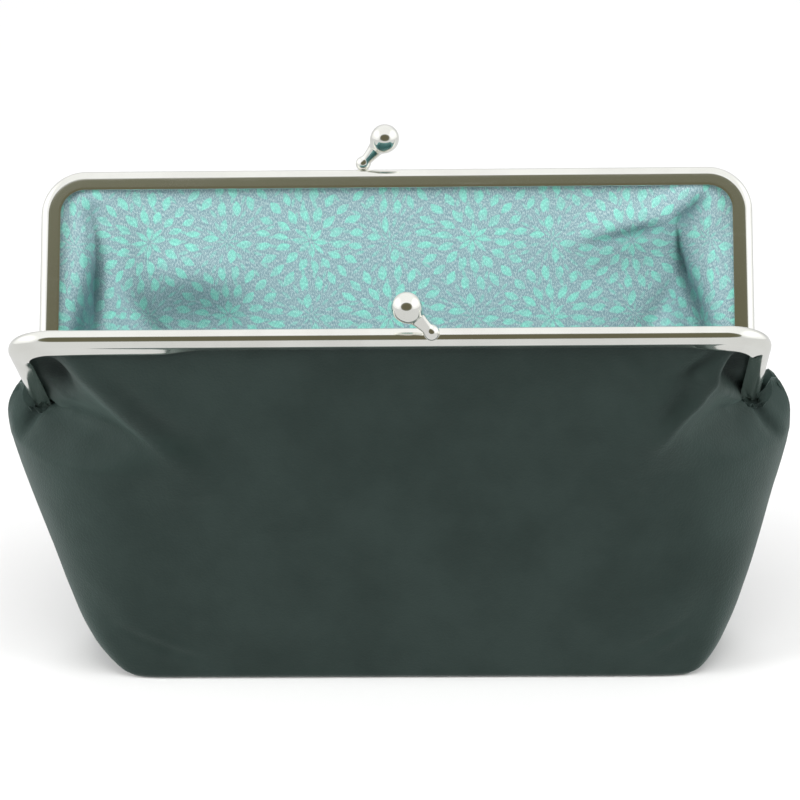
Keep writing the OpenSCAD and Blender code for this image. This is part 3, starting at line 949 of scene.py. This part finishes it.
def petal_group():
    """Rings of pointed petals round the points of a diagonal lattice, as a mask from 0 to 1."""
    sizes = {"Spacing": PRINT_SPACING, "Ring": PRINT_RING, "Half Width": PRINT_PETAL}
    group, given, result = new_group("petal_rings", sizes, ("Petals",))
    calc = partial(math_node, group)
    spin = {"Vector": given["Vector"], "Angle": math.radians(45)}
    spin = add_node(group, "VectorRotate", spin, rotation_type="Z_AXIS").outputs[0]
    local = []
    for way in split_up(group, spin)[:2]:
        cell = calc("FRACT", calc("DIVIDE", way, given["Spacing"]))
        local.append(calc("MULTIPLY", calc("SUBTRACT", cell, 0.5), given["Spacing"]))
    radius = length_of(group, *local)
    ring_place = calc("DIVIDE", radius, given["Ring"])
    ring = calc("FLOOR", ring_place)
    within = calc("MULTIPLY_ADD", calc("SUBTRACT", ring_place, ring), 1.12, -0.12)
    within = calc("MAXIMUM", within, 0.0)

    count = calc("MULTIPLY_ADD", ring, MORE_PETALS, FIRST_PETALS)
    half_step = calc("MULTIPLY", ring, 0.5)
    angle = calc("ARCTAN2", local[1], local[0])
    petal_place = calc("MULTIPLY", calc("DIVIDE", angle, 2 * math.pi), count)
    petal_place = calc("ADD", petal_place, half_step)
    petal = calc("ROUND", petal_place)
    aside = calc("ABSOLUTE", calc("SUBTRACT", petal_place, petal))
    aside = calc("MULTIPLY", aside, calc("DIVIDE", calc("MULTIPLY", radius, 2 * math.pi), count))

    shape = calc("POWER", calc("SINE", calc("MULTIPLY", within, math.pi)), 0.8)
    slim = ramp(group, ring, 0.0, 1.0, 0.66, 1.0)
    allowed = calc("MULTIPLY", calc("MULTIPLY", shape, slim), given["Half Width"])
    mask = ramp(group, calc("SUBTRACT", allowed, aside), -0.12 * MM, 0.38 * MM)

    # Only petals whose middles lie inside the square are printed, so none is cut by its edge
    middle_r = calc("MULTIPLY", calc("ADD", ring, 0.5), given["Ring"])
    middle_a = calc("MULTIPLY", calc("DIVIDE", calc("SUBTRACT", petal, half_step), count), 2 * math.pi)
    reach = [calc("ABSOLUTE", calc("MULTIPLY", middle_r, calc(way, middle_a))) for way in ("COSINE", "SINE")]
    whole = calc("LESS_THAN", calc("DIVIDE", calc("MAXIMUM", *reach), given["Spacing"]), 0.455)
    strength = ramp(group, noise(group, given["Vector"], 260, 1), 0.28, 0.56, 0.55, 1.0)
    feed(group, calc("MULTIPLY", calc("MULTIPLY", mask, whole), strength), result["Petals"])


def weave_group():
    """Plain weave: the height of crossing threads and their uneven tone."""
    group, given, result = new_group("plain_weave", {"Thread": 0.3 * MM}, ("Height", "Tone"))
    waves = []
    for way in split_up(group, given["Vector"])[:2]:
        place = math_node(group, "DIVIDE", way, given["Thread"])
        waves.append(math_node(group, "SINE", math_node(group, "MULTIPLY", place, math.pi)))
    stretch = {"Vector": given["Vector"], "Scale": (3400, 1300, 1000), "Rotation": (0, 0, 0.12)}
    stretched = add_node(group, "Mapping", stretch).outputs[0]
    feed(group, math_node(group, "MULTIPLY", *waves), result["Height"])
    feed(group, noise(group, stretched, 1, 2, 0.7), result["Tone"])


def lining_look(tree):
    """Mint petals printed on a grey blue woven cloth, with painted shade in its deepest creases."""
    flat = add_node(tree, "UVMap", uv_map="UVMap").outputs[0]
    threads = use_group(tree, "plain_weave", {"Vector": flat, "Thread": 0.32 * MM})
    drift = add_node(tree, "TexNoise", {"Vector": flat, "Scale": 55}).outputs["Color"]
    drifted = {0: drift, 1: (PRINT_DRIFT, PRINT_DRIFT, 0), 2: flat}
    place = add_node(tree, "VectorMath", drifted, operation="MULTIPLY_ADD").outputs[0]
    between = add_node(tree, "Mapping", {"Vector": place, "Location": (SMALL_SHIFT, 0, 0)}).outputs[0]
    small_rings = {"Vector": between, "Ring": SMALL_RING, "Half Width": SMALL_PETAL}
    small = use_group(tree, "petal_rings", small_rings)["Petals"]
    both = math_node(tree, "MULTIPLY", small, 0.6)
    both = math_node(tree, "MAXIMUM", use_group(tree, "petal_rings", {"Vector": place})["Petals"], both)
    worn = ramp(tree, noise(tree, flat, 500, 2, 0.6), 0.25, 0.6, 0.55, 0.95)
    fleck = ramp(tree, threads["Tone"], 0.38, 0.68)
    ground = mix_colours(tree, fleck, GROUND_DARK, GROUND_LIGHT)
    petals = mix_colours(tree, fleck, PETAL_DARK, PETAL_LIGHT)
    colour = mix_colours(tree, math_node(tree, "MULTIPLY", both, worn), ground, petals)
    return {
        # Painted shade: the colour darkens along the lining's crease lines
        "Base Color": mix_colours(tree, painted_shade_share(tree, 0.85), colour, CLOTH_PAINTED_SHADE),
        "Roughness": ramp(tree, threads["Tone"], 0.2, 0.8, 0.72, 0.86),
        "Specular IOR Level": 0.25,
        "Normal": bump(tree, threads["Height"], 0.05 * MM, 0.7),
    }


def wear_group():
    """Faint rubbing: slow cloudy patches and fine scratches."""
    group, given, result = new_group("faint_wear", {"Patch Size": 10 * MM}, ("Patches", "Scratches"))
    place = given["Vector"]
    patches = noise(group, place, math_node(group, "DIVIDE", 1.0, given["Patch Size"]), 3)
    stretch = {"Vector": place, "Scale": (40, 900, 900), "Rotation": (0.2, 0.1, 0.3)}
    stretched = add_node(group, "Mapping", stretch).outputs[0]
    feed(group, patches, result["Patches"])
    feed(group, ramp(group, noise(group, stretched, 1.0), 0.62, 0.72), result["Scratches"])


def nickel_look(tree):
    """Polished nickel plate with faint rubbing."""
    rubbing = use_group(tree, "faint_wear", {"Vector": object_place(tree), "Patch Size": 12 * MM})
    patches = ramp(tree, rubbing["Patches"], 0.35, 0.7)
    gloss = math_node(tree, "MULTIPLY_ADD", rubbing["Scratches"], 0.05, 0.065)
    return {
        "Metallic": 1,
        "Base Color": mix_colours(tree, patches, NICKEL, NICKEL_RUBBED),
        "Roughness": math_node(tree, "MULTIPLY_ADD", patches, 0.04, gloss),
    }


def rough_material(name, dark, light, patch, roughness, height):
    """A plain dull finish with patches of tone and a rough surface."""
    def look(tree):
        place = object_place(tree)
        rubbing = use_group(tree, "faint_wear", {"Vector": place, "Patch Size": patch})
        patches = ramp(tree, rubbing["Patches"], 0.3, 0.7)
        return {
            "Base Color": mix_colours(tree, patches, dark, light),
            "Roughness": math_node(tree, "MULTIPLY_ADD", patches, 0.08, roughness),
            "Normal": bump(tree, noise(tree, place, 1600, 3, 0.7), height),
        }

    return new_material(name, look)


# The camera and the stage

def look_at(eye, target, roll=0):
    """The place and rotation of a camera at eye, towards target and rolled clockwise."""
    forward = (target - eye).normalized()
    right = forward.cross(Vector((0, 0, 1))).normalized()
    up = right.cross(forward)
    turned_right = right * math.cos(roll) + up * math.sin(roll)
    turned_up = up * math.cos(roll) - right * math.sin(roll)
    turn = Matrix((turned_right, turned_up, -forward)).transposed()
    return Matrix.Translation(eye) @ turn.to_4x4()


def add_camera():
    """The camera stands where the photograph was taken from."""
    bpy.context.scene.view_settings.view_transform = "Standard"
    level = math.cos(CAMERA_PITCH)
    forward = Vector((math.sin(CAMERA_YAW) * level, math.cos(CAMERA_YAW) * level, -math.sin(CAMERA_PITCH)))
    eye = CAMERA_TARGET - forward * CAMERA_AWAY
    data = bpy.data.cameras.new("camera")
    data.sensor_width = SENSOR_W
    data.lens = LENS
    data.clip_start = 0.01
    camera = bpy.data.objects.new("camera", data)
    camera.matrix_world = look_at(eye, CAMERA_TARGET, CAMERA_ROLL)
    bpy.context.scene.collection.objects.link(camera)
    bpy.context.scene.camera = camera
    return eye


def add_area_light(name, place, size, power):
    """A square soft light that faces the bag."""
    data = bpy.data.lights.new(name, "AREA")
    data.shape = "SQUARE"
    data.size = size
    data.energy = power
    light = bpy.data.objects.new(name, data)
    light.matrix_world = look_at(Vector(place), BAG_MIDDLE)
    bpy.context.scene.collection.objects.link(light)
    light.visible_glossy = False


def floor_material():
    """White paper that stays white far off and in reflections, and keeps the shadow near the bag."""
    material = bpy.data.materials.new("white_paper")
    tree, surface = empty_tree(material)
    rays = add_node(tree, "LightPath").outputs
    paper = add_node(tree, "BsdfDiffuse", {"Color": FLOOR_TONE})
    strength = ramp(tree, rays["Is Glossy Ray"], 0, 1, 1.0, FLOOR_IN_METAL)
    glow = add_node(tree, "Emission", {"Color": WHITE, "Strength": strength})
    far = add_node(tree, "VectorMath", {0: object_place(tree)}, operation="LENGTH")
    share = ramp(tree, far.outputs["Value"], GLOW_START, GLOW_FULL, GLOW_NEAR, 1.0)
    seen = math_node(tree, "MULTIPLY_ADD", rays["Is Camera Ray"], share, rays["Is Glossy Ray"])
    mix_shaders(tree, seen, paper, glow, surface)
    return material


def card_material():
    """The dark room round the camera, with a soft edge where the white tent begins."""
    material = bpy.data.materials.new("dark_room")
    tree, surface = empty_tree(material)
    place = split_up(tree, add_node(tree, "UVMap").outputs[0])[:2]
    reach = length_of(tree, *(math_node(tree, "SUBTRACT", way, 0.5) for way in place))
    share = ramp(tree, reach, 0.44, 0.495, 1.0, 0.0)
    middle = ramp(tree, reach, 0.25, 0.46, 1.0, 0.0)
    dark = add_node(tree, "Emission", {"Color": mix_colours(tree, middle, CARD_EDGE, CARD_DARK)})
    mix_shaders(tree, share, add_node(tree, "BsdfTransparent"), dark, surface)
    return material


def add_world():
    """The white tent: even light, and a brighter, graded white in the camera and in reflections."""
    world = bpy.data.worlds.new("white_tent")
    bpy.context.scene.world = world
    tree, surface = empty_tree(world, "OutputWorld")
    rays = add_node(tree, "LightPath").outputs
    way = split_up(tree, add_node(tree, "TexCoord").outputs["Generated"])
    rise = ramp(tree, way["Z"], -0.05, 0.75, 0.62, 1.04)
    aside = ramp(tree, math_node(tree, "ABSOLUTE", way["X"]), 0.5, 0.95, 1.0, 1.7)
    strength = math_node(tree, "MULTIPLY", rise, aside)
    strength = math_node(tree, "MAXIMUM", strength, rays["Is Camera Ray"])
    soft = add_node(tree, "Background", {"Color": WHITE, "Strength": TENT_SOFT})
    white = add_node(tree, "Background", {"Color": WHITE, "Strength": strength})
    seen = math_node(tree, "MAXIMUM", rays["Is Camera Ray"], rays["Is Glossy Ray"])
    mix_shaders(tree, seen, soft, white, surface)


def add_stage(eye):
    """A pale floor, the white tent round it and the dark place where the camera stands."""
    bpy.ops.mesh.primitive_plane_add(size=FLOOR_SIZE, location=(0, 0, FLOOR_Z))
    floor = bpy.context.object
    floor.name = "floor"
    floor.data.materials.append(floor_material())

    away = (eye - BAG_MIDDLE).length * CARD_AWAY
    place = Vector((CARD_X, -away * math.cos(CARD_RISE), HINGE_Z + away * math.sin(CARD_RISE)))
    bpy.ops.mesh.primitive_plane_add(size=1)
    card = bpy.context.object
    card.name = "camera_card"
    card.data.transform(look_at(place, BAG_MIDDLE) @ Matrix.Diagonal((CARD_W, CARD_H, 1, 1)))
    card.data.materials.append(card_material())
    card.visible_shadow = False
    card.visible_camera = False

    add_world()
    for light in LIGHTS:
        add_area_light(*light)


for make_group in (grain_group, petal_group, weave_group, wear_group):
    make_group()
nickel = new_material("polished_nickel", nickel_look)
leather = new_material("dark_leather", leather_look)
lining_cloth = new_material("printed_lining", lining_look)
inner_cloth = rough_material("interlining_cloth", INNER_DARK, INNER_LIGHT, 4 * MM, 0.84, 0.1 * MM)
paper = rough_material("paper_cord", PAPER_DARK, PAPER_LIGHT, 2 * MM, 0.78, 0.15 * MM)
board = rough_material("grey_board", BOARD_DARK, BOARD_LIGHT, 3 * MM, 0.82, 0.1 * MM)

add_stage(add_camera())

for word, face in SIDES:
    half_body = word + "_half"

    grid = press_folds(sheet_grid(face, LEATHER_N, 0, 0), LEATHER_FOLDS[face], face)
    piece = sheet_piece(word + "_leather", grid, LEATHER_T, face, 0, LEATHER_SHADE_LINES[face])
    piece.data.materials.append(leather)
    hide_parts(word + "_leather_panel", word + "_leather_top")
    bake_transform(piece)

    # The inner layers follow the leather's broad folds and those that go far inwards
    deep = [fold for fold in LEATHER_FOLDS[face] if fold[1] >= 3 or fold[2] < -1]
    grid = sheet_grid(face, LINING_N, LINING_INSET, LINING_LOW)
    grid = press_folds(grid, deep + LINING_FOLDS[face], face)
    piece = sheet_piece(word + "_lining", grid, LINING_T, face, LINING_LOW, LINING_SHADE_LINES[face])
    piece.data.materials.append(lining_cloth)
    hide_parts(word + "_lining_panel", word + "_lining_top")
    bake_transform(piece)

    piece = frame_half(word + "_channel", face)
    piece.data.materials.append(nickel)
    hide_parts(word + "_frame")
    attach(piece, half_body)

    piece = lock_ball(word + "_lock", face)
    piece.data.materials.append(nickel)
    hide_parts(word + "_lock_ball")
    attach(piece, half_body)

    grid = sheet_grid(face, INNER_N, INNER_INSET, LEATHER_T, INNER_ROWS, INNER_COLUMNS)
    grid = press_folds(grid, deep, face)
    heights = grid[:, grid.shape[1] // 2, 2]
    grid = grid[: int(np.searchsorted(heights, INNER_TOP))]
    piece = sheet_piece(word + "_inner_cloth", grid, INNER_T, face, LEATHER_T)
    piece.data.materials.append(inner_cloth)
    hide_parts(word + "_interlining")
    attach(piece, "pouch")

    cord = bpy.data.objects[word + "_packing_cord"]
    cord.data.materials.clear()
    cord.data.materials.append(paper)

for side, word in ((-1, "left"), (1, "right")):
    piece = hinge_rivet(word + "_rivet", side)
    piece.data.materials.append(nickel)
    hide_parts(word + "_hinge_rivet")
    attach(piece, "pouch")

piece = stiff_board("stiff_board")
piece.data.materials.append(board)
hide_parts("base_board")
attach(piece, "pouch")
